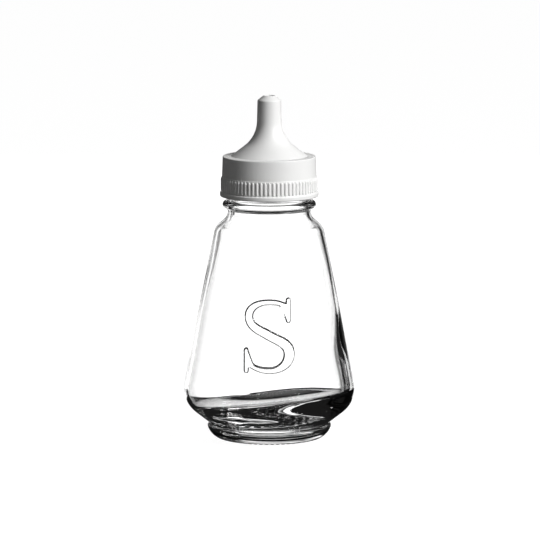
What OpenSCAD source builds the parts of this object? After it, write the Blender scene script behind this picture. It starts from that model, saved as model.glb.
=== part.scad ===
// Glass salt pot with a screw-on pouring nozzle, standing on its foot ring.
// The origin is the centre of the foot ring on the table, with +Z up and the raised mark facing -Y.

/* [Jar body] */
// Widest diameter of the glass body, at the hip
hip_d = 70; // [66:0.5:76]
// Height of the hip above the table
hip_z = 20.8; // [19:0.1:24]
// Radius of the rounding at the hip
hip_round = 12; // [9:0.5:13]
// Height from the hip to the middle of the shoulder rounding
body_h = 62.8; // [45:0.1:90]
// Diameter of the body at the middle of the shoulder rounding
shoulder_d = 45; // [42:0.5:50]
// Radius of the shoulder rounding
shoulder_round = 6; // [4:0.5:7]
// Wall thickness of the glass body
body_wall = 1.6; // [1.4:0.1:3.2]
// Height of the middle of the glass floor, inside, above the table
floor_z = 14.6; // [14:0.1:20]
// Tilt of the glass floor, higher towards +X as the glass settled
floor_tilt = 4.6; // [0:0.1:5]
// Lean of the glass floor, higher towards the front
floor_lean = 3.4; // [0:0.1:5]

/* [Foot] */
// Diameter of the foot
foot_d = 50.8; // [46:0.2:54]
// Height of the foot's top edge
foot_h = 6; // [5:0.1:6.5]
// Radius of the foot's rounded side
foot_round = 7; // [6.5:0.1:8]
// Radius of the foot's top edge
foot_edge_round = 0.6; // [0.4:0.1:0.8]
// Diameter of the groove between the foot and the body
waist_d = 48.6; // [44:0.2:50]
// Height of that groove's middle above the foot's top edge
waist_rise = 0.5; // [0.4:0.1:1]
// Radius of that groove
waist_round = 0.3; // [0.2:0.1:0.5]
// Diameter of the hollow under the foot
hollow_d = 31; // [24:0.5:34]
// Depth of the hollow under the foot
hollow_h = 2.4; // [1:0.1:4]
// Number of grip notches round the foot
notch_count = 56; // [36:1:64]
// Depth of a grip notch
notch_depth = 0.8; // [0.3:0.1:0.9]
// Width of the plain ring left inside the notches
foot_land = 2.2; // [1.5:0.1:3]

/* [Neck] */
// Diameter of the neck between the shoulder and the bead
neck_d = 33.8; // [32.6:0.2:35]
// Height from the middle of the shoulder rounding to the middle of the neck fillet
neck_rise = 9.4; // [8.8:0.1:14]
// Radius of the fillet from the shoulder into the neck
neck_fillet = 4; // [3:0.1:4.4]
// Diameter of the mouth
mouth_d = 28.4; // [24:0.2:28.6]
// Diameter of the bead below the thread
bead_d = 38; // [37:0.2:42]
// Radius of the bead's rounded edge
bead_round = 1.5; // [1.2:0.1:1.8]
// Radius of the fillets above and below the bead
bead_fillet = 0.8; // [0.5:0.1:1]
// Height from the middle of the neck fillet to the middle of the bead
bead_rise = 3.1; // [3:0.1:6]
// Diameter of the threaded part of the neck, between the threads
finish_d = 32.6; // [32:0.2:34]
// Height from the middle of the bead to the lip
finish_h = 16.9; // [15.5:0.1:24]
// Radius of the lip's edges
lip_round = 0.8; // [0.5:0.1:0.9]

/* [Thread] */
// Rise of the thread in one turn
thread_pitch = 4.2; // [4:0.1:5]
// Turns of thread on the glass
thread_turns = 1.6; // [1:0.1:1.8]
// Height of the thread above the neck
thread_h = 1.1; // [0.8:0.1:1.4]
// Width of the glass thread at its root
thread_w = 2.2; // [1.6:0.1:2.4]
// Distance from the lip to the top of the glass thread
thread_drop = 2.6; // [2.2:0.1:4]
// Turns of thread inside the cap
cap_thread_turns = 1.4; // [1:0.1:1.5]
// Running clearance between the two threads
thread_clear = 0.3; // [0.2:0.05:0.4]

/* [Cap skirt] */
// Wall of the cap's skirt at its top
cap_wall = 1.25; // [1:0.05:2]
// Extra radius of the plain skirt at its lower end
cap_draft = 0.3; // [0.1:0.05:0.6]
// Thickness of the cap's flat top
cap_top_t = 1.6; // [1.2:0.1:2.5]
// Gap between the cap's lower edge and the bead
skirt_gap = 1.85; // [0.8:0.05:3]
// Height of the flange at the cap's lower edge
flange_h = 1.8; // [1:0.1:2.5]
// How far the flange stands out past the grip ribs
flange_out = 0.3; // [0.2:0.05:0.8]
// Height of the band of grip ribs
rib_band_h = 6.2; // [4:0.1:8]
// How far the grip ribs stand out past the plain skirt
rib_out = 0.5; // [0.3:0.05:0.8]
// Number of grip ribs
rib_count = 72; // [48:1:80]
// Radius of the flute between two ribs
flute_round = 0.42; // [0.3:0.02:0.5]
// Depth of the flute between two ribs
flute_depth = 0.35; // [0.2:0.05:0.5]
// Plain height left at both ends of a flute
flute_end = 0.25; // [0.1:0.05:0.6]
// Radius of the cap's outer edges
cap_edge_round = 0.4; // [0.2:0.05:0.6]

/* [Nozzle] */
// Diameter of the nozzle where it leaves the cap's flat top
nozzle_base_d = 30.8; // [26:0.2:32]
// Height of the nozzle above the cap's flat top
nozzle_h = 24.7; // [20:0.1:40]
// Diameter of the nozzle's stem
stem_d = 10; // [8:0.1:12]
// Radius of the flare from the flat top into the stem
flare_round = 13; // [10:0.5:14]
// Height from the flat top to where the flare becomes the stem
flare_h = 14.5; // [13:0.1:18]
// How much the stem narrows in diameter towards its tip
stem_taper = 0.4; // [0:0.05:0.8]
// Diameter of the flat at the tip
tip_d = 5.4; // [4.8:0.1:6]
// Height of the slope round the tip
tip_slope_h = 1.9; // [1:0.1:3]
// Radius of the edges round the tip
tip_round = 0.5; // [0.3:0.05:0.6]
// Wall of the nozzle
nozzle_wall = 1.4; // [1:0.1:1.8]
// Thickness of the tip round its hole
tip_t = 2; // [1.2:0.1:3]
// Diameter of the pouring hole
hole_d = 3.6; // [2:0.1:4.2]

/* [Seal] */
// Thickness of the sealing ring
seal_t = 1.2; // [0.8:0.1:2]
// How far the sealing ring reaches in past the edge of the mouth's rounding
seal_cover = 0.6; // [0.2:0.1:1]
// Clearance round the sealing ring in the cap
seal_clear = 0.2; // [0.1:0.05:0.3]
// How far the bead that holds the sealing ring stands in from the cap's bore
keeper_in = 0.5; // [0.3:0.05:0.6]
// Height of the bead that holds the sealing ring
keeper_h = 0.6; // [0.4:0.1:0.8]

/* [Raised mark] */
// Height of the mark's middle above the hip
mark_rise = 25.5; // [20:0.1:40]
// Height of the mark
mark_h = 30; // [20:0.5:32]
// How far the mark stands out from the glass
mark_out = 1.2; // [0.4:0.1:1.4]

/* [Hidden] */
$fn = 144;

// Turn between two points on a rounding of an outline, in degrees, and on a small one
arc_step = 7.5;
small_arc_step = 15;
// Radius below which a rounding counts as small
small_round = 2;
// How far a rounding may turn the wrong way, in degrees, where two others crowd it
turn_slack = 90;
// Steps from the middle of the hollow under the foot to its rim
dome_steps = 8;
// Flat sides of a cutter for one flute
flute_sides = 8;
// How far a cut runs past the face that it opens
past = 1;

// Jar, from the table up
hip_r = hip_d / 2;
foot_r = foot_d / 2;
shoulder_z = hip_z + body_h;
neck_z = shoulder_z + neck_rise;
bead_z = neck_z + bead_rise;
lip_z = bead_z + finish_h;
neck_r = neck_d / 2;
finish_r = finish_d / 2;
mouth_r = mouth_d / 2;
waist_z = foot_h + waist_rise;

// Threads
// How far a thread's root lies inside the wall that carries it
thread_root = 0.4;
// Width of a thread's crest, as a share of its root's
thread_crest = 0.4;
// Turn over which a thread fades in and out, and the share of its height at its very ends
thread_fade = 30;
thread_end = 0.2;
// Turn between two sections of a thread
thread_step = 10;
thread_top_z = lip_z - thread_drop - thread_w / 2;
cap_thread_w = thread_pitch - thread_w - 2 * thread_clear;

// Cap and seal, from the lip up
seat_z = lip_z + seal_t;
cap_top_z = seat_z + cap_top_t;
cap_bottom_z = bead_z + bead_round + skirt_gap;
cap_bore_r = finish_r + thread_h + thread_clear;
skirt_r = cap_bore_r + cap_wall;
rib_r = skirt_r + cap_draft + rib_out;
flange_r = rib_r + flange_out;
rib_z = cap_bottom_z + flange_h;
tip_z = cap_top_z + nozzle_h;
stem_r = stem_d / 2;
flare_z = cap_top_z + flare_h;
seal_in_r = mouth_r + lip_round - seal_cover;
seal_out_r = cap_bore_r - seal_clear;

// An outline is a list of rounds [r, z, radius], each joined to the next by a straight tangent.
// The radius is positive on an outside rounding, negative in a hollow one and 0 at a sharp point.
// The material lies to the left of the way along the list.

// Direction that the tangent between two rounds faces
function facing(a, b) =
    let (way = [b[0] - a[0], b[1] - a[1]])
    let (lean = max(-1, min(1, (a[2] - b[2]) / norm(way))))
    atan2(way[1], way[0]) - acos(lean);

// How far a rounding turns between two directions: to the left outside, to the right in a hollow
function turn(from, to, radius) =
    let (back = radius > 0 ? turn_slack : 360 - turn_slack)
    (to - from + 720 + back) % 360 - back;

// Points round one rounding, between the tangents before and after it
function round_points(before, this, after) =
    let (start = facing(before, this))
    let (sweep = turn(start, facing(this, after), this[2]))
    let (step = abs(this[2]) < small_round ? small_arc_step : arc_step)
    let (steps = this[2] == 0 ? 0 : max(1, ceil(abs(sweep) / step)))
    [for (i = [0:steps])
        let (way = start + sweep * i / max(1, steps))
        [this[0] + this[2] * cos(way), this[1] + this[2] * sin(way)]];

// All points of an outline, with its first and last rounds taken as plain points
function outline(rounds) = concat(
    [[rounds[0][0], rounds[0][1]]],
    [for (i = [1:len(rounds) - 2]) each round_points(rounds[i - 1], rounds[i], rounds[i + 1])],
    [[rounds[len(rounds) - 1][0], rounds[len(rounds) - 1][1]]]
);

// Points of a shallow dome, from its top on the axis down to its rim
function dome(rim_r, h) =
    let (sphere_r = (rim_r * rim_r + h * h) / (2 * h))
    let (reach = asin(rim_r / sphere_r))
    [for (i = [0:dome_steps])
        let (way = reach * i / dome_steps)
        [sphere_r * sin(way), h - sphere_r + sphere_r * cos(way)]];

// A thread that winds upwards to the left of +X, made as one swept solid.
// base_r lies inside the wall that carries the thread, and it fades into that wall at both ends.
module thread(base_r, top_r, base_w, low_z, from, turns) {
    top_w = thread_crest * base_w;
    count = round(360 * turns / thread_step);
    sweep = 360 * turns;
    ring = [for (i = [0:count])
        let (way = sweep * i / count)
        let (rise = max(thread_end, min(1, way / thread_fade, (sweep - way) / thread_fade)))
        let (crest_r = base_r + (top_r - base_r) * rise)
        let (z = low_z + thread_pitch * way / 360)
        let (c = cos(from + way))
        let (s = sin(from + way))
        each [
            [base_r * c, base_r * s, z - base_w / 2],
            [crest_r * c, crest_r * s, z - top_w / 2],
            [crest_r * c, crest_r * s, z + top_w / 2],
            [base_r * c, base_r * s, z + base_w / 2]
        ]];
    last = 4 * count;
    side = [for (i = [0:count - 1]) for (k = [0:3])
        let (a = 4 * i + k)
        let (b = 4 * i + (k + 1) % 4)
        each [[a, b, b + 4], [a, b + 4, a + 4]]];
    ends = [[0, 2, 1], [0, 3, 2], [last, last + 1, last + 2], [last, last + 2, last + 3]];
    faces = concat(side, ends);
    outwards = top_r > base_r;
    polyhedron(ring, outwards ? faces : [for (f = faces) [f[0], f[2], f[1]]]);
}

// Rounds of the outside of the glass, from the foot ring up to the lip
foot_middle = [foot_r - foot_round, foot_round];
foot_edge_way = asin((foot_h - foot_edge_round - foot_round) / (foot_round - foot_edge_round));
foot_edge_r = foot_middle[0] + (foot_round - foot_edge_round) * cos(foot_edge_way);
hip_middle = [hip_r - hip_round, hip_z];
shoulder_middle = [shoulder_d / 2 - shoulder_round, shoulder_z];
bead_middle_r = bead_d / 2 - bead_round;
bead_reach = bead_round + bead_fillet;
bead_drop = sqrt(pow(bead_reach, 2) - pow(neck_r + bead_fillet - bead_middle_r, 2));
bead_lift = sqrt(pow(bead_reach, 2) - pow(finish_r + bead_fillet - bead_middle_r, 2));
glass_outside = [
    [hollow_d / 2, 0, 0],
    [foot_middle[0], foot_middle[1], foot_round],
    [foot_edge_r, foot_h - foot_edge_round, foot_edge_round],
    [waist_d / 2 + waist_round, waist_z, -waist_round],
    [hip_middle[0], hip_middle[1], hip_round],
    [shoulder_middle[0], shoulder_middle[1], shoulder_round],
    [neck_r + neck_fillet, neck_z, -neck_fillet],
    [neck_r + bead_fillet, bead_z - bead_drop, -bead_fillet],
    [bead_middle_r, bead_z, bead_round],
    [finish_r + bead_fillet, bead_z + bead_lift, -bead_fillet],
    [finish_r - lip_round, lip_z - lip_round, lip_round],
    [0, lip_z, 0]
];

// Rounds of the space inside the glass, from below the floor up past the lip
glass_inside = [
    [0, hip_z - hip_round + body_wall, 0],
    [hip_middle[0], hip_middle[1], hip_round - body_wall],
    [shoulder_middle[0], shoulder_middle[1], shoulder_round - body_wall],
    [neck_r + neck_fillet, neck_z, -neck_fillet - body_wall],
    [mouth_r + lip_round, lip_z - lip_round, -lip_round],
    [mouth_r + lip_round + past, lip_z + past / 2, 0]
];

// The straight side of the body faces this way, and starts and ends at these points
side_way = facing(glass_outside[4], glass_outside[5]);
side_low = hip_middle + hip_round * [cos(side_way), sin(side_way)];
side_high = shoulder_middle + shoulder_round * [cos(side_way), sin(side_way)];

// The mark is a plain Roman letter S, the usual sign for salt, drawn 30 high as one pen stroke.
// Each point of the stroke is [across, up, heading, half width].
mark_drawn_h = 30;
mark_stroke = [
    [6.4, 12, 152, 0.8],
    [-0.4, 13.4, 180, 0.9],
    [-8.2, 7.8, 270, 1.5],
    [0, 0.2, 330, 1.75],
    [8.1, -7.2, 270, 2.05],
    [0.2, -13.7, 180, 1.05],
    [-8, -11.4, 150, 0.8]
];
// The upright bars at its two ends are [across, low end, high end], and each has a bracket to the stroke
mark_upper_bar = [7.7, 5.3, 15];
mark_upper_bracket = [[4.4, 12], [6.6, 12.6], [7.7, 12.4], [7.7, 6.2], [7, 6.1]];
mark_lower_bar = [-9.3, -14.6, -4.9];
mark_lower_bracket = [[-9.3, -6], [-8.6, -5.8], [-6.4, -11.4], [-8, -12], [-9.3, -12]];
mark_bar_half_w = 0.8;
// Turn between two points round the end of a bar
mark_bar_step = 22.5;
// Steps along each stretch of the stroke, and how far it holds its heading
mark_steps = 6;
mark_curl = 0.39;
// How far the mark's root lies inside the glass
mark_root = 0.8;

// Point, heading and half width on the stroke from one of its points to the next
function stroke_at(a, b, t) =
    let (reach = mark_curl * norm([b[0] - a[0], b[1] - a[1]]))
    let (p0 = [a[0], a[1]])
    let (p1 = p0 + reach * [cos(a[2]), sin(a[2])])
    let (p3 = [b[0], b[1]])
    let (p2 = p3 - reach * [cos(b[2]), sin(b[2])])
    let (s = 1 - t)
    let (at = s * s * s * p0 + 3 * s * s * t * p1 + 3 * s * t * t * p2 + t * t * t * p3)
    let (way = s * s * (p1 - p0) + 2 * s * t * (p2 - p1) + t * t * (p3 - p2))
    [at[0], at[1], atan2(way[1], way[0]), a[3] + (b[3] - a[3]) * t * t * (3 - 2 * t)];

// One edge of the stroke, on the left of its heading for side 1 and on the right for side -1
function stroke_edge(side) = [
    for (i = [0:len(mark_stroke) - 2]) for (k = [0:i == len(mark_stroke) - 2 ? mark_steps : mark_steps - 1])
        let (p = stroke_at(mark_stroke[i], mark_stroke[i + 1], k / mark_steps))
        [p[0] - side * p[3] * sin(p[2]), p[1] + side * p[3] * cos(p[2])]];

// Half a turn of points round the end of a bar, from its right side for side 1 and its left for side -1
function bar_end(across, up, side) =
    [for (way = [0:mark_bar_step:180])
        [across, up] + side * mark_bar_half_w * [cos(way), sin(way)]];

// Outline of an upright bar with round ends
function bar_points(bar) = concat(
    bar_end(bar[0], bar[2] - mark_bar_half_w, 1),
    bar_end(bar[0], bar[1] + mark_bar_half_w, -1)
);

// The letter lying flat, with an upright bar and its bracket at each end of the stroke
module mark_outline() {
    edge = stroke_edge(1);
    other = stroke_edge(-1);
    polygon(concat(edge, [for (i = [len(other) - 1:-1:0]) other[i]]));
    polygon(bar_points(mark_upper_bar));
    polygon(mark_upper_bracket);
    polygon(bar_points(mark_lower_bar));
    polygon(mark_lower_bracket);
}

// The letter raised on the straight side of the body, with its root inside the wall
module mark() {
    way = [cos(side_way), sin(side_way)];
    intersection() {
        translate([0, 0, hip_z + mark_rise])
            rotate([90, 0, 0])
                linear_extrude(height = hip_r + past)
                    scale(mark_h / mark_drawn_h)
                        mark_outline();
        rotate_extrude()
            polygon([
                side_low - mark_root * way,
                side_low + mark_out * way,
                side_high + mark_out * way,
                side_high - mark_root * way
            ]);
    }
}

// The grip notches round the lower edge of the foot, as one set of cutters
module notches() {
    side = notch_depth * sqrt(2);
    for (i = [0:notch_count - 1])
        rotate([0, 0, 360 * i / notch_count])
            translate([hollow_d / 2 + foot_land, 0, 0])
                rotate([45, 0, 0])
                    translate([0, -side / 2, -side / 2])
                        cube([foot_round, side, side]);
}

module glass_jar() {
    color("lightcyan", 0.4)
        difference() {
            union() {
                rotate_extrude()
                    polygon(concat(dome(hollow_d / 2, hollow_h), outline(glass_outside)));
                thread(finish_r - thread_root, finish_r + thread_h, thread_w,
                    thread_top_z - thread_pitch * thread_turns, 0, thread_turns);
                mark();
            }
            intersection() {
                rotate_extrude()
                    polygon(concat(outline(glass_inside), [[0, lip_z + past / 2]]));
                translate([0, 0, floor_z])
                    rotate([-floor_lean, -floor_tilt, 0])
                        translate([-hip_d, -hip_d, 0])
                            cube([2 * hip_d, 2 * hip_d, 2 * lip_z]);
            }
            notches();
        }
}

module seal_ring() {
    color("ivory")
        translate([0, 0, lip_z])
            difference() {
                cylinder(r = seal_out_r, h = seal_t);
                translate([0, 0, -past])
                    cylinder(r = seal_in_r, h = seal_t + 2 * past);
            }
}

// Rounds of the outside of the cap, from its lower edge up to the pouring hole
tip_edge_r = stem_r - stem_taper / 2;
cap_outside = [
    [0, cap_bottom_z, 0],
    [flange_r - cap_edge_round, cap_bottom_z + cap_edge_round, cap_edge_round],
    [flange_r - cap_edge_round, rib_z - cap_edge_round, cap_edge_round],
    [rib_r, rib_z, 0],
    [rib_r - cap_edge_round, rib_z + rib_band_h - cap_edge_round, cap_edge_round],
    [skirt_r + cap_draft, rib_z + rib_band_h, 0],
    [skirt_r - cap_edge_round, cap_top_z - cap_edge_round, cap_edge_round],
    [nozzle_base_d / 2, cap_top_z, 0],
    [stem_r + flare_round, flare_z, -flare_round],
    [tip_edge_r - tip_round, tip_z - tip_slope_h - tip_round / 2, tip_round],
    [tip_d / 2 - tip_round, tip_z - tip_round, tip_round],
    [0, tip_z, 0]
];

// Rounds of the space inside the nozzle, from below the cap's flat top up to the tip
nozzle_inside = [
    [0, seat_z - past, 0],
    [nozzle_base_d / 2 - nozzle_wall, seat_z - past, 0],
    [nozzle_base_d / 2 - nozzle_wall, seat_z, 0],
    [stem_r + flare_round, flare_z, -flare_round - nozzle_wall],
    [tip_edge_r - nozzle_wall, tip_z - tip_t, 0],
    [0, tip_z - tip_t, 0]
];

// The flutes between the grip ribs, as one set of cutters
module flutes() {
    for (i = [0:rib_count - 1])
        rotate([0, 0, 360 * (i + 0.5) / rib_count])
            translate([rib_r - flute_depth + flute_round, 0, rib_z + flute_end])
                cylinder(r = flute_round, h = rib_band_h - cap_edge_round - 2 * flute_end, $fn = flute_sides);
}

module screw_cap() {
    // The cap's thread lies half a pitch below the glass thread's upper turns
    cap_thread_low = thread_top_z - thread_pitch * (cap_thread_turns + 1 / 2);
    cap_thread_from = 360 * (thread_turns - cap_thread_turns);
    color("white")
        union() {
            difference() {
                rotate_extrude()
                    polygon(outline(cap_outside));
                translate([0, 0, cap_bottom_z - past])
                    cylinder(r = cap_bore_r, h = seat_z - cap_bottom_z + past);
                rotate_extrude()
                    polygon(outline(nozzle_inside));
                translate([0, 0, tip_z - tip_t - past])
                    cylinder(d = hole_d, h = tip_t + 2 * past);
                flutes();
            }
            // Bead that holds the sealing ring in the cap
            translate([0, 0, lip_z - keeper_h - seal_clear])
                difference() {
                    cylinder(r = cap_bore_r + cap_wall / 2, h = keeper_h);
                    translate([0, 0, -past])
                        cylinder(r = cap_bore_r - keeper_in, h = keeper_h + 2 * past);
                }
            thread(cap_bore_r + thread_root, finish_r + thread_clear, cap_thread_w,
                cap_thread_low, cap_thread_from, cap_thread_turns);
        }
}

glass_jar();
seal_ring();
screw_cap();
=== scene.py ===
"""Dresses the salt pot: clear pressed glass, a white moulded screw cap and its foam sealing ring."""
import math

import bpy
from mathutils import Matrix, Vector


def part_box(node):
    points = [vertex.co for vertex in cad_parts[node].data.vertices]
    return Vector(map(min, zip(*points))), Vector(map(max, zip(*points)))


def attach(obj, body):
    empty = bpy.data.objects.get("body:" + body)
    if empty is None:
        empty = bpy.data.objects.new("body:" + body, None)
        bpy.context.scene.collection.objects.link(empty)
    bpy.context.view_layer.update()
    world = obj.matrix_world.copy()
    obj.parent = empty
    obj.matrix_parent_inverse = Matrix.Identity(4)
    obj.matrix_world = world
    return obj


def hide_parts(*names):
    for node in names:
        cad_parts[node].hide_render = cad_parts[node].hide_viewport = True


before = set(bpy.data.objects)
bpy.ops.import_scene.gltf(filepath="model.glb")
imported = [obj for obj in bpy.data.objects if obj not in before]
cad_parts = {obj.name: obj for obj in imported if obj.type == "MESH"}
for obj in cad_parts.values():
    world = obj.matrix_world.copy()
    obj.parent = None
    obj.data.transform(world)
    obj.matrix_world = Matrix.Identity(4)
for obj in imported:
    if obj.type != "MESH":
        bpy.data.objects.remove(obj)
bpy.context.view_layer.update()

# The pot's lengths are in millimetres up to where a mesh is made, and the studio's are in metres
MM = 0.001

# Sizes read from the frame
jar_low, jar_high = (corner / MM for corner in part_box("glass_jar"))
seal_low, seal_high = (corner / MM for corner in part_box("seal_ring"))
cap_low, cap_high = (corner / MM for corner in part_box("screw_cap"))
HIP_R = jar_high.x
LIP_Z = jar_high.z
SEAL_R = seal_high.x
SEAT_Z = seal_high.z
CAP_BOTTOM_Z = cap_low.z
FLANGE_R = cap_high.x
TIP_Z = cap_high.z

# Jar body
HIP_Z = 20.8
HIP_ROUND = 12
SHOULDER_Z = 83.6
SHOULDER_R = 22.5
SHOULDER_ROUND = 6
BODY_WALL = 1.6
FLOOR_Z = 14.1
# The floor is higher towards +X and towards the front
FLOOR_TILT = math.radians(4.6)
FLOOR_LEAN = math.radians(4.0)
FLOOR_ROUND = 1.6
# The floor is dished, with its rim, near this radius, higher than its middle
FLOOR_DISH = 2.0
DISH_R = 31
# The glass settled to the right as it cooled, from this height down, and is thicker there by this much
SETTLE_TOP_Z = 54
SETTLE_LOW_Z = 32
SETTLE_OUT = 2.2
# Slow waves that the plunger left in the inner wall: how high they are, and each one's count round the jar,
# the height over which it turns by a radian, and its start
WAVE_OUT = 0.03
WAVES = [(3, 9, 0), (5, -6, 1)]

# Foot
FOOT_R = 25.4
FOOT_H = 6
FOOT_ROUND = 7
FOOT_EDGE_ROUND = 0.6
WAIST_R = 24.3
WAIST_Z = 6.5
WAIST_ROUND = 0.3
HOLLOW_R = 15.5
HOLLOW_H = 2.4
HOLLOW_EDGE_ROUND = 0.5
NOTCH_COUNT = 56
NOTCH_DEPTH = 0.8
NOTCH_FROM_R = 17.7

# Neck
NECK_R = 16.9
NECK_Z = 93
NECK_FILLET = 4
MOUTH_R = 14.2
BEAD_Z = 96.1
BEAD_R = 19
BEAD_ROUND = 1.5
BEAD_FILLET = 0.8
FINISH_R = 16.3
LIP_ROUND = 0.8
# The lip stays this far below the sealing ring, so that no two faces lie in one plane
LIP_GAP = 0.03

# Threads, each as its first height, first angle, turns, height and half widths at root and crest
THREAD_PITCH = 4.2
THREAD_FADE = math.radians(30)
GLASS_THREAD = dict(low=102.58, start=0, turns=1.6, out=1.1, root=0.92, crest=0.44)
CAP_THREAD = dict(low=101.32, start=math.radians(72), turns=1.4, out=-1.1, root=0.62, crest=0.28)

# Raised letter S, the usual sign for salt, drawn as one pen stroke on the front of the glass.
# A point of the stroke is across, up, heading in degrees and half width.
MARK_Z = 46.3
MARK_OUT = 1.2
MARK_SLOPE = 0.56
MARK_FILLET = 0.9
MARK_STROKE = [
    (6.4, 12, 152, 0.8),
    (-0.4, 13.4, 180, 0.9),
    (-8.2, 7.8, 270, 1.5),
    (0, 0.2, 330, 1.75),
    (8.1, -7.2, 270, 2.05),
    (0.2, -13.7, 180, 1.05),
    (-8, -11.4, 150, 0.8),
]
MARK_CURL = 0.39
MARK_STEPS = 10
# The upright bars at its two ends are across, low end and high end, and each has a bracket to the stroke
MARK_BARS = [(7.7, 5.3, 15), (-9.3, -14.6, -4.9)]
MARK_BAR_HALF_W = 0.8
MARK_BRACKETS = [
    [(4.4, 12), (6.6, 12.6), (7.7, 12.4), (7.7, 6.2), (7, 6.1)],
    [(-9.3, -6), (-8.6, -5.8), (-6.4, -11.4), (-8, -12), (-9.3, -12)],
]
# The letter lies within these limits of its middle
MARK_HALF_W = 11.5
MARK_HALF_H = 16.5

# Cap
CAP_BORE_R = 17.7
CAP_TOP_Z = 115.8
SKIRT_R = 18.95
CAP_DRAFT = 0.3
CAP_EDGE_ROUND = 0.4
CAP_INNER_ROUND = 0.15
FLANGE_H = 1.8
RIB_BAND_H = 6.2
RIB_BAND_R = 19.4
KEEPER_Z = 112.5
KEEPER_R = 17.2
KEEPER_ROUND = 0.3
NOZZLE_BASE_R = 15.4
NOZZLE_WALL = 1.4
STEM_R = 5
STEM_TIP_R = 4.8
FLARE_Z = 130.3
FLARE_ROUND = 13
TIP_R = 2.7
TIP_SLOPE_H = 1.9
TIP_ROUND = 0.5
TIP_T = 2
HOLE_R = 1.8

# Grip ribs on the cap
RIB_COUNT = 72
RIB_OUT = 0.35
RIB_HALF_W = 0.54
RIB_END_GAP = 0.2
# Points along a rib, corners round it, and how square its rounded ends are
RIB_POINTS = 13
RIB_CORNERS = 14
RIB_END_POWER = 12

# Sealing ring
SEAL_IN_R = 14.4
SEAL_ROUND = 0.25
SEAL_DENT = 0.12

# Fineness of the meshes
ARC_STEP = math.radians(4)
SMALL_ARC_STEP = math.radians(12)
SMALL_ROUND = 2
# Steps on the roundings inside the glass, from the lip down to the floor
INNER_STEPS = [0, 6, 8, 8, 20, 12]
FLOOR_ROWS = 10
FLOOR_TRIES = 6
SAME_POINT = 0.001
EDGE_ROW = 0.4
MARK_ROW = 0.18
THREAD_ROW = 0.6
WALL_ROW = 4
NOTCH_ROW = 0.4
GLASS_COLUMNS = 4 * NOTCH_COUNT
MARK_COLUMNS = 15
MARK_SPLIT = 6
CAP_COLUMNS = 192
SEAL_COLUMNS = 120

# Camera, at the photograph's angle
CAMERA_DISTANCE = 3.0
CAMERA_RISE = math.radians(8)
CAMERA_AIM = Vector((0.3, 0, 69)) * MM
CAMERA_REACH = 100
PICTURE_SIDE = 540
PIXELS_PER_MM = 2.457

# Soft lamp from the right, and a weak one straight behind the pot, which lights the back of the cap
LAMP_DISTANCE = 0.9
LAMP_SIDE = 0.4
LAMP_TURN = math.radians(55)
LAMP_RISE = math.radians(35)
LAMP_POWER = 9
BACK_TURN = math.radians(180)
BACK_RISE = math.radians(12)
BACK_POWER = 3

# Ground that the pot stands on, and its white surround
GROUND_HALF_SIDE = 7.0
GROUND_GREY = 0.16
GROUND_GLOW = 0.97
AMBIENT = 0.08
WHITE = (1, 1, 1, 1)

# Brightness of the painted glow of the table and of the cards that show through the glass, and of the dark
# round them
SCREEN_LEVEL = 1.5
DARK_LEVEL = 0.01
# Each card's turns from straight behind the pot and rises above the camera's line, in degrees, where it
# starts to show, is full, starts to fade and is gone
CARDS = [
    ((-14, -11, 10, 25), (-90, -89, 12.5, 14)),
    ((-37, -34.5, -31, -15), (-90, -89, 26, 34)),
    ((-24, -20, 20, 26), (15, 32, 33, 36)),
    ((-16, -13, 13, 16), (15, 32, 42, 44)),
]
# Parts of the table, a glow painted on the floor that only rays through the glass see, from the far one to
# the near one: its reach from the pot's axis, the length that it fades over, and the turns where it starts to
# show, is full, starts to fade and is gone
GLOWING_TABLE = [
    (0.79, 0.02, (-36.5, -34.5, 25.5, 28.5)),
    (0.29, 0.04, (-36.5, -34.5, 18, 21)),
    (0.14, 0.05, (-23, -19, 18, 21)),
]
# Painted shadow: the table is dark this close to the pot's axis, where the pot's shade would fall
PAINTED_SHADOW_R = 0.08
PAINTED_SHADOW_FADE = 0.004
# A camera that looks down more steeply than this, in degrees, sees the table right up to the foot, without
# the painted shadow
STEEP_VIEW = 20
STEEP_FADE = 4
# The outside of the glass mirrors the table's painted glow only on its near part
MIRROR_R = 0.42
MIRROR_FADE = 0.04


# Outlines: lists of rounds (r, z, radius), each joined to the next by a straight tangent.
# The radius is positive on an outside rounding, negative in a hollow one and 0 at a sharp point.
# The material lies to the left of the way along the list.

def facing(start, end):
    """Direction that the tangent between two rounds faces."""
    across = end[0] - start[0]
    up = end[1] - start[1]
    lean = (start[2] - end[2]) / math.hypot(across, up)
    return math.atan2(up, across) - math.acos(max(-1, min(1, lean)))


def outline(rounds, closed=False, arc_steps=None):
    """Points (r, z) along an outline. A rounding has as many steps as it needs, or as the list gives it."""
    count = len(rounds)
    points = []
    for i, (r, z, bend) in enumerate(rounds):
        before = rounds[i - 1] if i or closed else None
        after = rounds[(i + 1) % count] if i < count - 1 or closed else None
        if bend == 0 or before is None or after is None:
            points.append((r, z))
            continue
        first = facing(before, rounds[i])
        # An outside rounding turns to the left and a hollow one to the right
        back = math.pi / 2 if bend > 0 else 3 * math.pi / 2
        turn = (facing(rounds[i], after) - first + back) % (2 * math.pi) - back
        step = SMALL_ARC_STEP if abs(bend) < SMALL_ROUND else ARC_STEP
        steps = arc_steps[i] if arc_steps else max(2, math.ceil(abs(turn) / step))
        for k in range(steps + 1):
            way = first + turn * k / steps
            points.append((r + bend * math.cos(way), z + bend * math.sin(way)))
    return [p for p, q in zip(points, points[1:] + points[:1]) if math.dist(p, q) > SAME_POINT]


def along(a, b, share):
    """Point at a share of the way from one point to another."""
    return tuple(u + (v - u) * share for u, v in zip(a, b))


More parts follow.
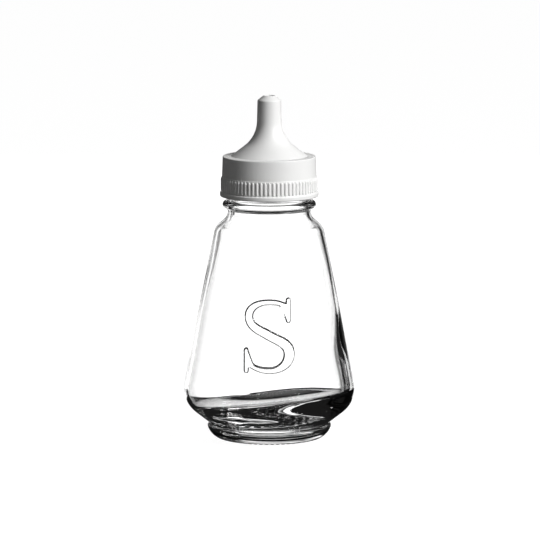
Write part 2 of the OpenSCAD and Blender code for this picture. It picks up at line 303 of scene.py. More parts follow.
def with_rows(points, row_length, closed=False):
    """The same outline with long straights cut into rows, and a short row kept at both ends of each."""
    result = []
    ends = points[1:] + points[:1] if closed else points[1:]
    for a, b in zip(points, ends):
        result.append(a)
        length = math.dist(a, b)
        # A straight that is too short for a row at each end and one between them stays whole
        if length < 3 * EDGE_ROW:
            continue
        middle = length - 2 * EDGE_ROW
        steps = max(1, math.ceil(middle / row_length(a, b)))
        result += [along(a, b, (EDGE_ROW + middle * k / steps) / length) for k in range(steps + 1)]
    if not closed:
        result.append(points[-1])
    return result


def smooth(low, high, value):
    """0 below low, 1 above high and an even S-shaped rise between them."""
    share = max(0, min(1, (value - low) / (high - low)))
    return share * share * (3 - 2 * share)


# Turned meshes

def split_panel(panel, rows, columns, shape, vertices):
    """Splits one row of a lathe finely between two of its columns. Adds the new vertices, and returns the new
    faces and, for each pair of old vertices on the panel's border, the new ones that lie between them."""
    row, first, last, ups, splits = panel
    wide = (last - first) * splits
    at = {}
    for i in range(ups + 1):
        r, z = along(rows[row], rows[row + 1], i / ups)
        for k in range(wide + 1):
            if i in (0, ups) and k % splits == 0:
                at[i, k] = (row + i // ups) * columns + first + k // splits
                continue
            at[i, k] = len(vertices)
            vertices.append(shape(r, z, 2 * math.pi * (first + k / splits) / columns, row))
    faces = [
        (at[i, k], at[i, k + 1], at[i + 1, k + 1], at[i + 1, k])
        for i in range(ups)
        for k in range(wide)
    ]
    borders = [[at[i, k] for i in range(ups + 1)] for k in (0, wide)]
    borders += [
        [at[i, k + part] for part in range(splits + 1)]
        for i in (0, ups)
        for k in range(0, wide, splits)
    ]
    between = {}
    for border in borders:
        between[border[0], border[-1]] = border[1:-1]
        between[border[-1], border[0]] = border[-2:0:-1]
    return faces, between


def lathe(name, profile, columns, shape, closed, panel=None):
    """Turns a profile into a smooth closed mesh object. shape(r, z, angle, row) gives each vertex its place.
    An open profile starts and ends on the axis, where a single vertex closes the mesh, and its rows are
    counted from the one after that. A panel, where there is one, is a row, a first and a last column, and how
    finely to split these up and across."""
    rows = profile if closed else profile[1:-1]
    vertices = [
        shape(r, z, 2 * math.pi * k / columns, row)
        for row, (r, z) in enumerate(rows)
        for k in range(columns)
    ]
    faces, between = split_panel(panel, rows, columns, shape, vertices) if panel else ([], {})
    for row in range(len(rows) if closed else len(rows) - 1):
        low = row * columns
        high = (row + 1) % len(rows) * columns
        for k in range(columns):
            if panel and row == panel[0] and panel[1] <= k < panel[2]:
                continue
            after = (k + 1) % columns
            corners = [low + k, low + after, high + after, high + k]
            pairs = zip(corners, corners[1:] + corners[:1])
            faces.append([v for pair in pairs for v in (pair[0], *between.get(pair, []))])
    if not closed:
        first = len(vertices)
        vertices.append(shape(*profile[0], 0, 0))
        vertices.append(shape(*profile[-1], 0, len(rows)))
        last_row = (len(rows) - 1) * columns
        for k in range(columns):
            after = (k + 1) % columns
            faces.append((first, after, k))
            faces.append((first + 1, last_row + k, last_row + after))
    mesh = bpy.data.meshes.new(name)
    mesh.from_pydata([Vector(v) * MM for v in vertices], [], faces)
    mesh.shade_smooth()
    mesh.update()
    piece = bpy.data.objects.new(name, mesh)
    bpy.context.scene.collection.objects.link(piece)
    return piece


# Threads

def thread_height(thread, z, angle):
    """How far a thread stands out of its wall at a height and angle."""
    half_pitch = THREAD_PITCH / 2
    sweep = 2 * math.pi * thread["turns"]
    ahead = (angle - thread["start"]) % (2 * math.pi)
    best = 0
    while ahead <= sweep:
        middle = thread["low"] + THREAD_PITCH * ahead / (2 * math.pi)
        away = abs(z - middle)
        if away < half_pitch:
            share = min(1, ahead / THREAD_FADE, (sweep - ahead) / THREAD_FADE)
            best = max(best, share * smooth(thread["root"], thread["crest"], away))
        ahead += 2 * math.pi
    return best * thread["out"]


# Raised letter: its distance is measured from the stroke, the bars and the brackets

def stroke_points():
    """Points (across, up, half width) along the letter's stroke."""
    points = []
    for a, b in zip(MARK_STROKE, MARK_STROKE[1:]):
        reach = MARK_CURL * math.dist(a[:2], b[:2])
        p0, p3 = Vector(a[:2]), Vector(b[:2])
        p1 = p0 + reach * Vector((math.cos(math.radians(a[2])), math.sin(math.radians(a[2]))))
        p2 = p3 - reach * Vector((math.cos(math.radians(b[2])), math.sin(math.radians(b[2]))))
        for k in range(MARK_STEPS + 1):
            t = k / MARK_STEPS
            s = 1 - t
            at = s ** 3 * p0 + 3 * s * s * t * p1 + 3 * s * t * t * p2 + t ** 3 * p3
            points.append((at.x, at.y, a[3] + (b[3] - a[3]) * smooth(0, 1, t)))
    return points


STROKE = stroke_points()


def bar_points(bar):
    """The two ends (across, up, half width) of an upright bar's middle line."""
    across, low, high = bar
    half_w = MARK_BAR_HALF_W
    return [(across, low + half_w, half_w), (across, high - half_w, half_w)]


def line_distance(points, across, up):
    """Distance from the edge of a line of changing width, negative inside it."""
    best = math.inf
    for a, b in zip(points, points[1:]):
        way = (b[0] - a[0], b[1] - a[1])
        length_squared = way[0] ** 2 + way[1] ** 2
        if length_squared == 0:
            continue
        share = ((across - a[0]) * way[0] + (up - a[1]) * way[1]) / length_squared
        share = max(0, min(1, share))
        away = math.hypot(across - a[0] - share * way[0], up - a[1] - share * way[1])
        best = min(best, away - a[2] - share * (b[2] - a[2]))
    return best


def patch_distance(corners, across, up):
    """Distance from the edge of a bracket, negative inside it."""
    away = line_distance([(*c, 0) for c in corners + corners[:1]], across, up)
    inside = False
    for a, b in zip(corners, corners[1:] + corners[:1]):
        if (a[1] > up) != (b[1] > up) and across < a[0] + (b[0] - a[0]) * (up - a[1]) / (b[1] - a[1]):
            inside = not inside
    return -away if inside else away


def blend(a, b):
    """The smaller of two distances, with a fillet where they cross."""
    overlap = max(0, MARK_FILLET - abs(a - b)) / MARK_FILLET
    return min(a, b) - overlap * overlap * MARK_FILLET / 4


def mark_height(x, z):
    """How far the letter stands out at a place on the front of the glass."""
    up = z - MARK_Z
    if abs(x) > MARK_HALF_W or abs(up) > MARK_HALF_H:
        return 0
    away = line_distance(STROKE, x, up)
    for bar, corners in zip(MARK_BARS, MARK_BRACKETS):
        end = min(line_distance(bar_points(bar), x, up), patch_distance(corners, x, up))
        away = blend(away, end)
    # The bevel runs across the letter's edge, half of it inside and half outside
    return MARK_OUT * max(0, min(1, 0.5 - away / MARK_SLOPE))


# Glass jar

def outer_rounds():
    """Outline of the outside of the glass, from the middle of the hollow under its foot up to its lip."""
    foot_r = FOOT_R - FOOT_ROUND
    foot_drop = FOOT_H - FOOT_EDGE_ROUND - FOOT_ROUND
    foot_edge_r = foot_r + math.sqrt((FOOT_ROUND - FOOT_EDGE_ROUND) ** 2 - foot_drop ** 2)
    bead_r = BEAD_R - BEAD_ROUND
    bead_reach = BEAD_ROUND + BEAD_FILLET
    bead_drop = math.sqrt(bead_reach ** 2 - (NECK_R + BEAD_FILLET - bead_r) ** 2)
    bead_lift = math.sqrt(bead_reach ** 2 - (FINISH_R + BEAD_FILLET - bead_r) ** 2)
    dome_r = (HOLLOW_R ** 2 + HOLLOW_H ** 2) / (2 * HOLLOW_H)
    lip_z = LIP_Z - LIP_GAP
    return [
        (0, HOLLOW_H, 0),
        (0, HOLLOW_H - dome_r, -dome_r),
        (HOLLOW_R + HOLLOW_EDGE_ROUND, HOLLOW_EDGE_ROUND, HOLLOW_EDGE_ROUND),
        (foot_r, FOOT_ROUND, FOOT_ROUND),
        (foot_edge_r, FOOT_H - FOOT_EDGE_ROUND, FOOT_EDGE_ROUND),
        (WAIST_R + WAIST_ROUND, WAIST_Z, -WAIST_ROUND),
        (HIP_R - HIP_ROUND, HIP_Z, HIP_ROUND),
        (SHOULDER_R - SHOULDER_ROUND, SHOULDER_Z, SHOULDER_ROUND),
        (NECK_R + NECK_FILLET, NECK_Z, -NECK_FILLET),
        (NECK_R + BEAD_FILLET, BEAD_Z - bead_drop, -BEAD_FILLET),
        (bead_r, BEAD_Z, BEAD_ROUND),
        (FINISH_R + BEAD_FILLET, BEAD_Z + bead_lift, -BEAD_FILLET),
        (FINISH_R - LIP_ROUND, lip_z - LIP_ROUND, LIP_ROUND),
        (MOUTH_R + LIP_ROUND, lip_z, 0),
    ]


def inner_rounds(floor_slope):
    """Outline of the inside of the glass, from its lip down to the middle of its floor, on a side where the
    floor rises outwards at a given slope."""
    lip_z = LIP_Z - LIP_GAP
    hip_r = HIP_R - HIP_ROUND
    reach = HIP_ROUND - BODY_WALL - FLOOR_ROUND
    # The dish's slope at its rim, and where a straight floor of that slope would meet the axis
    rim_slope = floor_slope + 2 * FLOOR_DISH / DISH_R
    low_z = FLOOR_Z - FLOOR_DISH
    # The floor's rounding rests on that slope and on the hip's inner wall, so its place is found by tries
    floor_r = hip_r + reach
    for _ in range(FLOOR_TRIES):
        floor_z = low_z + floor_r * rim_slope + FLOOR_ROUND * math.hypot(1, rim_slope)
        floor_r = hip_r + math.sqrt(reach ** 2 - (HIP_Z - floor_z) ** 2)
    return [
        (MOUTH_R + 2 * LIP_ROUND, lip_z, 0),
        (MOUTH_R + LIP_ROUND, lip_z - LIP_ROUND, LIP_ROUND),
        (NECK_R + NECK_FILLET, NECK_Z, NECK_FILLET + BODY_WALL),
        (SHOULDER_R - SHOULDER_ROUND, SHOULDER_Z, BODY_WALL - SHOULDER_ROUND),
        (hip_r, HIP_Z, BODY_WALL - HIP_ROUND),
        (floor_r, floor_z, -FLOOR_ROUND),
        (0, low_z, 0),
    ]


def outside_row(a, b):
    """Length of the rows on a straight of the outside of the glass."""
    if min(a[1], b[1]) > BEAD_Z:
        return THREAD_ROW
    if max(a[1], b[1]) < NOTCH_DEPTH:
        return NOTCH_ROW
    return math.dist(a, b) if a[1] < MARK_Z < b[1] else WALL_ROW


def with_mark_ends(points):
    """The outside of the glass with a point added below and above the letter."""
    low_z, high_z = MARK_Z - MARK_HALF_H, MARK_Z + MARK_HALF_H
    result = []
    for a, b in zip(points, points[1:] + points[-1:]):
        result.append(a)
        if a[1] < low_z and high_z < b[1]:
            result += [along(a, b, (z - a[1]) / (b[1] - a[1])) for z in (low_z, high_z)]
    return result


def inside_points(angle):
    """Points (r, z) down the inside of the glass on one side, as many on each side."""
    slope = math.cos(angle) * math.tan(FLOOR_TILT) - math.sin(angle) * math.tan(FLOOR_LEAN)
    # The first two points lie on the lip, where the outside ends, and the dish's rows replace the last one
    wall = with_rows(outline(inner_rounds(slope), arc_steps=INNER_STEPS)[:-1], lambda a, b: WALL_ROW)[2:]
    rim_r = wall[-1][0]
    rows = [rim_r * (1 - k / FLOOR_ROWS) for k in range(1, FLOOR_ROWS + 1)]
    return wall + [(r, FLOOR_Z + slope * r + FLOOR_DISH * (r / DISH_R) ** 2) for r in rows]


def glass_jar():
    """The pressed glass body, as one closed wall with its letter, thread and foot notches."""
    outer = with_rows(with_mark_ends(outline(outer_rounds())), outside_row)
    outer_count = len(outer) - 1
    notch_pitch = 2 * math.pi / NOTCH_COUNT
    sides = [inside_points(2 * math.pi * k / GLASS_COLUMNS) for k in range(GLASS_COLUMNS)]

    def outside_place(r, z, angle):
        if z < NOTCH_DEPTH and r > NOTCH_FROM_R:
            off_notch = (angle + notch_pitch / 2) % notch_pitch - notch_pitch / 2
            z = max(z, NOTCH_DEPTH - abs(off_notch) * r)
        if z > BEAD_Z:
            r += thread_height(GLASS_THREAD, z, angle)
        x, y = r * math.cos(angle), r * math.sin(angle)
        # The letter stands out towards the front, the way that the mould opens
        return x, y - mark_height(x, z) if y < 0 else y, z

    def inside_place(r, z, angle):
        wave = sum(math.sin(count * angle + z / height + start) for count, height, start in WAVES)
        r += WAVE_OUT * wave * smooth(SHOULDER_Z, SHOULDER_Z - SHOULDER_ROUND, z) * smooth(0, HIP_R / 2, r)
        settled = smooth(SETTLE_TOP_Z, SETTLE_LOW_Z, z)
        r *= 1 - SETTLE_OUT / HIP_R * settled * ((1 + math.cos(angle)) / 2) ** 2
        return r * math.cos(angle), r * math.sin(angle), z

    def place(r, z, angle, row):
        if row < outer_count:
            return outside_place(r, z, angle)
        side = sides[round(angle / (2 * math.pi) * GLASS_COLUMNS)]
        return inside_place(*side[row - outer_count], angle)

    mark_row = next(i for i, (a, b) in enumerate(zip(outer[1:], outer[2:])) if a[1] < MARK_Z < b[1])
    # The front of the glass, towards -Y, is three quarters of the way round
    front = GLASS_COLUMNS * 3 // 4
    ups = round(2 * MARK_HALF_H / MARK_ROW)
    panel = (mark_row, front - MARK_COLUMNS, front + MARK_COLUMNS, ups, MARK_SPLIT)
    return lathe("glass_body", outer + sides[0], GLASS_COLUMNS, place, closed=False, panel=panel)


# Screw cap

def cap_shell():
    """The moulded cap with its nozzle, without the grip ribs."""
    rib_z = CAP_BOTTOM_Z + FLANGE_H
    band_top_z = rib_z + RIB_BAND_H
    edge = CAP_EDGE_ROUND
    small = CAP_INNER_ROUND
    keeper_top_z = KEEPER_Z + KEEPER_ROUND + small
    tip_base_z = TIP_Z - TIP_T
    rounds = [
        (CAP_BORE_R + small, CAP_BOTTOM_Z + small, small),
        (FLANGE_R - edge, CAP_BOTTOM_Z + edge, edge),
        (FLANGE_R - edge, rib_z - edge, edge),
        (RIB_BAND_R + small, rib_z + small, -small),
        (RIB_BAND_R - small, band_top_z - small, small),
        (SKIRT_R + CAP_DRAFT + small, band_top_z + small, -small),
        (SKIRT_R - edge, CAP_TOP_Z - edge, edge),
        (NOZZLE_BASE_R + small, CAP_TOP_Z + small, -small),
        (STEM_R + FLARE_ROUND, FLARE_Z, -FLARE_ROUND),
        (STEM_TIP_R - TIP_ROUND, TIP_Z - TIP_SLOPE_H - TIP_ROUND / 2, TIP_ROUND),
        (TIP_R - TIP_ROUND, TIP_Z - TIP_ROUND, TIP_ROUND),
        (HOLE_R + small, TIP_Z - small, small),
        (HOLE_R + small, tip_base_z + small, small),
        (STEM_TIP_R - NOZZLE_WALL - small, tip_base_z - small, -small),
        (STEM_R + FLARE_ROUND, FLARE_Z, FLARE_ROUND + NOZZLE_WALL),
        (NOZZLE_BASE_R - NOZZLE_WALL + small, SEAT_Z + small, small),
        (CAP_BORE_R - small, SEAT_Z - small, -small),
        (CAP_BORE_R - small, keeper_top_z, -small),
        (KEEPER_R + KEEPER_ROUND, KEEPER_Z, KEEPER_ROUND),
        (CAP_BORE_R - small, KEEPER_Z - KEEPER_ROUND - small, -small),
    ]

    def row_length(a, b):
        in_bore = max(a[0], b[0]) <= CAP_BORE_R and max(a[1], b[1]) < KEEPER_Z
        return THREAD_ROW if in_bore else WALL_ROW

    def place(r, z, angle, row):
        if r <= CAP_BORE_R and z < KEEPER_Z - KEEPER_ROUND:
            r += thread_height(CAP_THREAD, z, angle)
        return r * math.cos(angle), r * math.sin(angle), z

    profile = with_rows(outline(rounds, closed=True), row_length, closed=True)
    return lathe("cap_shell", profile, CAP_COLUMNS, place, closed=True)


# Nodes

def add_node(tree, kind, inputs=None, **settings):
    """Adds a node with its settings. An input takes a value, or a link where it is given a node's socket."""
    node = tree.nodes.new(kind)
    for name, value in settings.items():
        setattr(node, name, value)
    for key, value in (inputs or {}).items():
        if isinstance(value, bpy.types.NodeSocket):
            tree.links.new(value, node.inputs[key])
        else:
            node.inputs[key].default_value = value
    return node


# Grip ribs

def rib_tree(finish):
    """Geometry nodes that set rounded upright ribs in a ring round the cap."""
    tree = bpy.data.node_groups.new("grip_ribs", "GeometryNodeTree")
    kinds = {
        "Rib Count": "NodeSocketInt",
        "Ring Radius": "NodeSocketFloat",
        "Low End": "NodeSocketFloat",
        "High End": "NodeSocketFloat",
        "Stand Out": "NodeSocketFloat",
        "Half Width": "NodeSocketFloat",
    }
    sizes = {}
    for name, kind in kinds.items():
        sizes[name] = tree.interface.new_socket(name=name, in_out="INPUT", socket_type=kind)
    tree.interface.new_socket(name="Geometry", in_out="OUTPUT", socket_type="NodeSocketGeometry")
    given = add_node(tree, "NodeGroupInput").outputs

    low = add_node(tree, "ShaderNodeCombineXYZ", {"Z": given["Low End"]})
    high = add_node(tree, "ShaderNodeCombineXYZ", {"Z": given["High End"]})
    line = add_node(tree, "GeometryNodeCurvePrimitiveLine", {"Start": low.outputs[0], "End": high.outputs[0]})
    spine = add_node(tree, "GeometryNodeResampleCurve", {"Curve": line.outputs[0], "Count": RIB_POINTS})
    share = add_node(tree, "GeometryNodeSplineParameter").outputs["Factor"]
    # The rib narrows to a rounded end: radius = sqrt(1 - |2 share - 1| ^ power)
    middle = add_node(tree, "ShaderNodeMath", {0: share, 1: 2.0, 2: -1.0}, operation="MULTIPLY_ADD")
    away = add_node(tree, "ShaderNodeMath", {0: middle.outputs[0]}, operation="ABSOLUTE")
    steep = add_node(tree, "ShaderNodeMath", {0: away.outputs[0], 1: RIB_END_POWER}, operation="POWER")
    left = add_node(tree, "ShaderNodeMath", {0: 1.0, 1: steep.outputs[0]}, operation="SUBTRACT")
    radius = add_node(tree, "ShaderNodeMath", {0: left.outputs[0]}, operation="SQRT")
    tapered = add_node(tree, "GeometryNodeSetCurveRadius", {
        "Curve": spine.outputs[0],
        "Radius": radius.outputs[0],
    })
    section = add_node(tree, "GeometryNodeCurvePrimitiveCircle", {"Resolution": RIB_CORNERS, "Radius": 1.0})
    flat = add_node(tree, "ShaderNodeCombineXYZ", {
        "X": given["Stand Out"],
        "Y": given["Half Width"],
        "Z": 1.0,
    })
    oval = add_node(tree, "GeometryNodeTransform", {
        "Geometry": section.outputs["Curve"],
        "Scale": flat.outputs[0],
    })
    rib = add_node(tree, "GeometryNodeCurveToMesh", {
        "Curve": tapered.outputs[0],
        "Profile Curve": oval.outputs[0],
        "Scale": radius.outputs[0],
    })
    ring = add_node(tree, "GeometryNodeMeshCircle", {
        "Vertices": given["Rib Count"],
        "Radius": given["Ring Radius"],
    })
    place = add_node(tree, "GeometryNodeInputPosition").outputs[0]
    turn = add_node(tree, "FunctionNodeAlignRotationToVector", {"Vector": place}, axis="X", pivot_axis="Z")
    ribs = add_node(tree, "GeometryNodeInstanceOnPoints", {
        "Points": ring.outputs[0],
        "Instance": rib.outputs[0],
        "Rotation": turn.outputs[0],
    })
    real = add_node(tree, "GeometryNodeRealizeInstances", {"Geometry": ribs.outputs[0]})
    shaded = add_node(tree, "GeometryNodeSetShadeSmooth", {"Geometry": real.outputs[0]})
    painted = add_node(tree, "GeometryNodeSetMaterial", {"Geometry": shaded.outputs[0], "Material": finish})
    add_node(tree, "NodeGroupOutput", {"Geometry": painted.outputs[0]})
    return tree, sizes


def grip_ribs(finish):
    """The grip ribs as one plain mesh."""
    tree, sizes = rib_tree(finish)
    maker = bpy.data.objects.new("rib_maker", bpy.data.meshes.new("rib_maker"))
    bpy.context.scene.collection.objects.link(maker)
    modifier = maker.modifiers.new("ribs", "NODES")
    modifier.node_group = tree
    rib_z = CAP_BOTTOM_Z + FLANGE_H
    values = {
        "Rib Count": RIB_COUNT,
        "Ring Radius": RIB_BAND_R * MM,
        "Low End": (rib_z + RIB_END_GAP) * MM,
        "High End": (rib_z + RIB_BAND_H - RIB_END_GAP) * MM,
        "Stand Out": RIB_OUT * MM,
        "Half Width": RIB_HALF_W * MM,
    }
    for name, value in values.items():
        modifier[sizes[name].identifier] = value
    made = maker.evaluated_get(bpy.context.evaluated_depsgraph_get())
    mesh = bpy.data.meshes.new_from_object(made)
    bpy.data.objects.remove(maker)
    mesh.name = "cap_grip_ribs"
    piece = bpy.data.objects.new("cap_grip_ribs", mesh)
    bpy.context.scene.collection.objects.link(piece)
    return piece


# Sealing ring

def sealing_ring():
    """The foam ring, a little dented where the lip bears on it."""
    low_z = seal_low.z
    lip_middle = (MOUTH_R + FINISH_R) / 2
    dent_half_w = (FINISH_R - MOUTH_R) / 2
    rounds = [
        (SEAL_IN_R + SEAL_ROUND, low_z + SEAL_ROUND, SEAL_ROUND),
        (SEAL_R - SEAL_ROUND, low_z + SEAL_ROUND, SEAL_ROUND),
        (SEAL_R - SEAL_ROUND, SEAT_Z - SEAL_ROUND, SEAL_ROUND),
        (SEAL_IN_R + SEAL_ROUND, SEAT_Z - SEAL_ROUND, SEAL_ROUND),
    ]

    def place(r, z, angle, row):
        if z < low_z + SEAL_ROUND:
            z += SEAL_DENT * smooth(dent_half_w, 0, abs(r - lip_middle))
        return r * math.cos(angle), r * math.sin(angle), z

    profile = with_rows(outline(rounds, closed=True), lambda a, b: EDGE_ROW, closed=True)
    return lathe("foam_seal", profile, SEAL_COLUMNS, place, closed=True)


# Finishes

def linear(hex_colour):
    """Linear RGBA of an sRGB hex colour."""
    parts = [int(hex_colour[i:i + 2], 16) / 255 for i in (1, 3, 5)]
    return [p / 12.92 if p <= 0.04045 else ((p + 0.055) / 1.055) ** 2.4 for p in parts] + [1.0]


def new_finish(name):
    """A new material, and its node tree with nothing in it yet."""
    finish = bpy.data.materials.new(name)
    finish.use_nodes = True
    finish.node_tree.nodes.clear()
    return finish, finish.node_tree


def soda_lime_glass():
    """Pressed soda-lime glass, fire-polished: clear and sharp, with a faint uneven skin from the mould and
    fine scuffs where the foot ring slides on the table."""
    finish, tree = new_finish("soda_lime_glass")
    skin_mm = 9
    scuff_mm = 0.6
    scuff_high_mm = 0.9
    place = add_node(tree, "ShaderNodeTexCoord").outputs["Object"]
    skin = add_node(tree, "ShaderNodeTexNoise", {"Vector": place, "Scale": 1 / (skin_mm * MM), "Detail": 1.0})
    bump = add_node(tree, "ShaderNodeBump", {
        "Strength": 0.25, "Distance": 0.05 * MM, "Height": skin.outputs["Fac"],
    })
    height = add_node(tree, "ShaderNodeSeparateXYZ", {"Vector": place}).outputs["Z"]
    low = add_node(tree, "ShaderNodeMapRange", {
        "Value": height, "From Min": 0.0, "From Max": scuff_high_mm * MM, "To Min": 1.0, "To Max": 0.0,
    })
    scuff = add_node(tree, "ShaderNodeTexNoise", {
        "Vector": place, "Scale": 1 / (scuff_mm * MM), "Detail": 3.0,
    }).outputs["Fac"]
    worn = add_node(tree, "ShaderNodeMath", {0: low.outputs[0], 1: scuff}, operation="MULTIPLY")
    rough = add_node(tree, "ShaderNodeMapRange", {"Value": worn.outputs[0], "To Min": 0.0, "To Max": 0.35})
    shader = add_node(tree, "ShaderNodeBsdfPrincipled", {
        "Base Color": linear("#FFFFFF"),
        "Roughness": rough.outputs[0],
        "IOR": 1.52,
        "Transmission Weight": 1.0,
        "Normal": bump.outputs[0],
    })
    add_node(tree, "ShaderNodeOutputMaterial", {"Surface": shader.outputs[0]})
    return finish


def white_polypropylene():
    """White moulded polypropylene: a satin skin with the fine texture of the spark-eroded mould and a slight
    waxy unevenness. The texture is drawn coarser than it is, so that it shows."""
    finish, tree = new_finish("white_polypropylene")
    texture_mm = 0.35
    cloud_mm = 7
    place = add_node(tree, "ShaderNodeTexCoord").outputs["Object"]
    texture = add_node(tree, "ShaderNodeTexNoise", {
        "Vector": place, "Scale": 1 / (texture_mm * MM), "Detail": 2.0,
    }).outputs["Fac"]
    bump = add_node(tree, "ShaderNodeBump", {"Strength": 0.2, "Distance": 0.02 * MM, "Height": texture})
    cloud = add_node(tree, "ShaderNodeTexNoise", {
        "Vector": place, "Scale": 1 / (cloud_mm * MM), "Detail": 2.0,
    }).outputs["Fac"]
    rough = add_node(tree, "ShaderNodeMapRange", {"Value": cloud, "To Min": 0.34, "To Max": 0.46})
    tint = add_node(tree, "ShaderNodeMix", {
        "Factor": cloud, "A": linear("#EFEFEE"), "B": linear("#F4F4F3"),
    }, data_type="RGBA")
    shader = add_node(tree, "ShaderNodeBsdfPrincipled", {
        "Base Color": tint.outputs[2],
        "Roughness": rough.outputs[0],
        "IOR": 1.49,
        "Normal": bump.outputs[0],
    })
    add_node(tree, "ShaderNodeOutputMaterial", {"Surface": shader.outputs[0]})
    return finish


def polyethylene_foam():
    """Closed-cell polyethylene foam: dull off-white, with cells that show as fine pits."""
    finish, tree = new_finish("polyethylene_foam")
    cell_mm = 0.4
    place = add_node(tree, "ShaderNodeTexCoord").outputs["Object"]
    cells = add_node(tree, "ShaderNodeTexVoronoi", {
        "Vector": place, "Scale": 1 / (cell_mm * MM),
    }).outputs["Distance"]
    bump = add_node(tree, "ShaderNodeBump", {"Strength": 0.5, "Distance": 0.1 * MM, "Height": cells})
    tint = add_node(tree, "ShaderNodeMix", {
        "Factor": cells, "A": linear("#E9E6DC"), "B": linear("#F3F1EA"),
    }, data_type="RGBA")
    shader = add_node(tree, "ShaderNodeBsdfPrincipled", {
        "Base Color": tint.outputs[2],
        "Roughness": 0.85,
        "IOR": 1.5,
        "Normal": bump.outputs[0],
    })
    add_node(tree, "ShaderNodeOutputMaterial", {"Surface": shader.outputs[0]})
    return finish


# Studio: a pale floor, a white surround, a soft lamp from the right and a weak one behind.
# Glass shows what lies behind it, so rays that come through it see the floor glow as a bright table round the
# pot, a painted glow, with a painted shadow under its foot, and past the table four bright cards: a low one
# straight behind the pot, one on its left, and higher up a wide one and a narrow, taller one with soft lower
# edges. The table and the cards go round with the camera, as if the pot stood on a turntable.

def direction(turn, rise):
    """Unit vector from the pot, turned round from the front towards the right and raised."""
    return Vector((math.sin(turn) * math.cos(rise), -math.cos(turn) * math.cos(rise), math.sin(rise)))


def fade(tree, value, full, none):
    """Falls from 1 at one value to 0 at another."""
    return add_node(tree, "ShaderNodeMapRange", {
        "Value": value, "From Min": full, "From Max": none, "To Min": 1.0, "To Max": 0.0,
    }).outputs[0]


def between_angles(tree, angle, degrees):
    """1 between the middle two of four limits, which are in degrees, and 0 outside all of them."""
    none_low, full_low, full_high, none_high = [math.radians(d) for d in degrees]
    low = fade(tree, angle, full_low, none_low)
    high = fade(tree, angle, full_high, none_high)
    return add_node(tree, "ShaderNodeMath", {0: low, 1: high}, operation="MULTIPLY").outputs[0]


def camera_turns(tree, way):
    """How far a direction turns to the right of the camera's line, and how far it rises above it."""
    seen = add_node(tree, "ShaderNodeVectorTransform", {"Vector": way},
                    vector_type="VECTOR", convert_from="WORLD", convert_to="CAMERA")
    parts = add_node(tree, "ShaderNodeSeparateXYZ", {"Vector": seen.outputs[0]}).outputs
    return [
        add_node(tree, "ShaderNodeMath", {0: parts[axis], 1: parts["Z"]}, operation="ARCTAN2").outputs[0]
        for axis in "XY"
    ]


def card_share(tree, turn, rise):
    """Share of the cards' light in a direction."""
    share = 0.0
    for turns, rises in CARDS:
        across = between_angles(tree, turn, turns)
        up = between_angles(tree, rise, rises)
        card = add_node(tree, "ShaderNodeMath", {0: across, 1: up}, operation="MULTIPLY").outputs[0]
        share = add_node(tree, "ShaderNodeMath", {0: share, 1: card}, operation="MAXIMUM").outputs[0]
    return share


def painted_table_share(tree, away):
    """Share of light where a ray through the glass meets the floor: the table's painted glow, with a painted
    shadow under the foot, and the cards past it.
    """
    back = add_node(tree, "ShaderNodeNewGeometry").outputs["Incoming"]
    way = add_node(tree, "ShaderNodeVectorMath", {0: back, "Scale": -1.0}, operation="SCALE").outputs[0]
    turn, rise = camera_turns(tree, way)
    share = card_share(tree, turn, rise)
    for reach, length, turns in GLOWING_TABLE:
        near = fade(tree, away, reach, reach + length)
        part = between_angles(tree, turn, turns)
        share = add_node(tree, "ShaderNodeMix", {"Factor": near, "A": share, "B": part}).outputs[0]
    # The upright is a right angle from a level camera's line, and further from that of one that looks down
    upright = camera_turns(tree, (0, 0, 1))[1]
    full = math.pi / 2 + math.radians(STEEP_VIEW)
    steep = fade(tree, upright, full, full - math.radians(STEEP_FADE))
    # Painted shadow: the table is dark near the axis, under the foot, unless the camera looks down steeply
    clear = fade(tree, away, PAINTED_SHADOW_R + PAINTED_SHADOW_FADE, PAINTED_SHADOW_R)
    seen = add_node(tree, "ShaderNodeMath", {0: clear, 1: steep}, operation="MAXIMUM").outputs[0]
    return add_node(tree, "ShaderNodeMath", {0: share, 1: seen}, operation="MULTIPLY").outputs[0]


def screen_level(tree, share):
    """Brightness of the table's painted glow or of the cards, from dark to full."""
    return add_node(tree, "ShaderNodeMapRange", {
        "Value": share, "To Min": DARK_LEVEL, "To Max": SCREEN_LEVEL,
    }).outputs[0]


def studio_world():
    """White to the camera, faint light on the pot, and the cards for rays that come through the glass."""
    world = bpy.data.worlds.new("studio")
    bpy.context.scene.world = world
    world.use_nodes = True
    tree = world.node_tree
    tree.nodes.clear()
    rays = add_node(tree, "ShaderNodeLightPath").outputs
    way = add_node(tree, "ShaderNodeTexCoord").outputs["Generated"]
    cards = screen_level(tree, card_share(tree, *camera_turns(tree, way)))
    level = add_node(tree, "ShaderNodeMix", {"Factor": rays["Is Transmission Ray"], "A": AMBIENT, "B": cards})
    shown = add_node(tree, "ShaderNodeMath", {
        0: level.outputs[0], 1: rays["Is Camera Ray"],
    }, operation="MAXIMUM")
    light = add_node(tree, "ShaderNodeBackground", {"Color": WHITE, "Strength": shown.outputs[0]})
    add_node(tree, "ShaderNodeOutputWorld", {"Surface": light.outputs[0]})


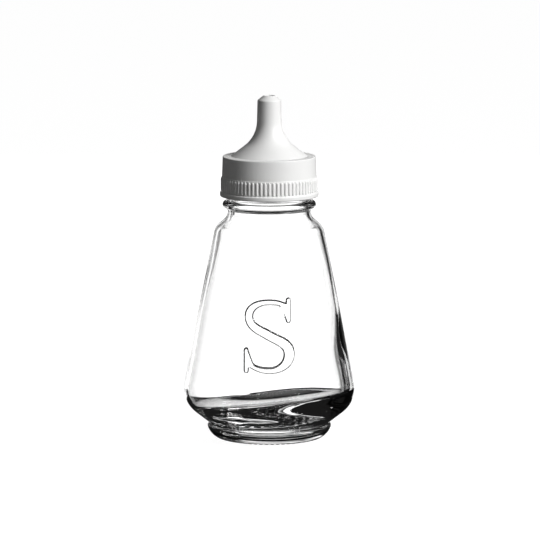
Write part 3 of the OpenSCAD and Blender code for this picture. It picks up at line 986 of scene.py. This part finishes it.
def studio_floor():
    """A pale floor that keeps the pot's shadow. Through the glass it shows a glow painted on it as a table,
    with a painted shadow under the foot, and the cards past that.
    """
    mesh = bpy.data.meshes.new("floor")
    half = GROUND_HALF_SIDE
    corners = [(-half, -half, 0), (half, -half, 0), (half, half, 0), (-half, half, 0)]
    mesh.from_pydata(corners, [], [(0, 1, 2, 3)])
    floor = bpy.data.objects.new("floor", mesh)
    bpy.context.scene.collection.objects.link(floor)
    finish, tree = new_finish("pale_floor")
    rays = add_node(tree, "ShaderNodeLightPath").outputs
    place = add_node(tree, "ShaderNodeTexCoord").outputs["Object"]
    away = add_node(tree, "ShaderNodeVectorMath", {0: place}, operation="LENGTH").outputs["Value"]
    near = fade(tree, away, MIRROR_R, MIRROR_R + MIRROR_FADE)
    mirrored = add_node(tree, "ShaderNodeMath", {0: rays["Is Glossy Ray"], 1: near}, operation="MULTIPLY")
    through = add_node(tree, "ShaderNodeMath", {
        0: rays["Is Transmission Ray"], 1: mirrored.outputs[0],
    }, operation="MAXIMUM")
    glow = add_node(tree, "ShaderNodeMath", {0: rays["Is Camera Ray"], 1: GROUND_GLOW}, operation="MULTIPLY")
    grey = add_node(tree, "ShaderNodeBsdfDiffuse", {"Color": [GROUND_GREY] * 3 + [1.0]})
    pale = add_node(tree, "ShaderNodeEmission", {"Strength": glow.outputs[0]})
    direct = add_node(tree, "ShaderNodeAddShader", {0: grey.outputs[0], 1: pale.outputs[0]})
    # Painted glow and painted shadow of the table, seen only by rays through the glass and by its reflections
    behind = add_node(tree, "ShaderNodeEmission", {"Strength": screen_level(tree, painted_table_share(tree, away))})
    both = add_node(tree, "ShaderNodeMixShader", {
        0: through.outputs[0], 1: direct.outputs[0], 2: behind.outputs[0],
    })
    add_node(tree, "ShaderNodeOutputMaterial", {"Surface": both.outputs[0]})
    mesh.materials.append(finish)


def studio_lamp(name, turn, rise, power, in_glass):
    """A soft square lamp, which may show in the glass."""
    lamp = bpy.data.lights.new(name, "AREA")
    lamp.size = LAMP_SIDE
    lamp.energy = power
    holder = bpy.data.objects.new(name, lamp)
    holder.visible_glossy = in_glass
    holder.visible_transmission = in_glass
    way = direction(turn, rise)
    holder.location = CAMERA_AIM + way * LAMP_DISTANCE
    holder.rotation_euler = (-way).to_track_quat("-Z", "Y").to_euler()
    bpy.context.scene.collection.objects.link(holder)


def studio_camera():
    """Long lens a little above the pot, at the photograph's angle."""
    camera = bpy.data.cameras.new("camera")
    camera.lens = PIXELS_PER_MM * CAMERA_DISTANCE / MM / PICTURE_SIDE * camera.sensor_width
    camera.clip_end = CAMERA_REACH
    holder = bpy.data.objects.new("camera", camera)
    way = direction(0, CAMERA_RISE)
    holder.location = CAMERA_AIM + way * CAMERA_DISTANCE
    holder.rotation_euler = (-way).to_track_quat("-Z", "Y").to_euler()
    bpy.context.scene.collection.objects.link(holder)
    bpy.context.scene.camera = holder


bpy.context.scene.view_settings.view_transform = "Standard"
studio_camera()
studio_lamp("soft_lamp", LAMP_TURN, LAMP_RISE, LAMP_POWER, in_glass=True)
studio_lamp("back_lamp", BACK_TURN, BACK_RISE, BACK_POWER, in_glass=False)
studio_world()
studio_floor()

cap_finish = white_polypropylene()

jar = glass_jar()
jar.data.materials.append(soda_lime_glass())
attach(jar, "jar")
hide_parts("glass_jar")

cap = cap_shell()
cap.data.materials.append(cap_finish)
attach(cap, "cap")
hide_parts("screw_cap")

ribs = grip_ribs(cap_finish)
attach(ribs, "cap")

seal = sealing_ring()
seal.data.materials.append(polyethylene_foam())
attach(seal, "seal")
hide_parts("seal_ring")
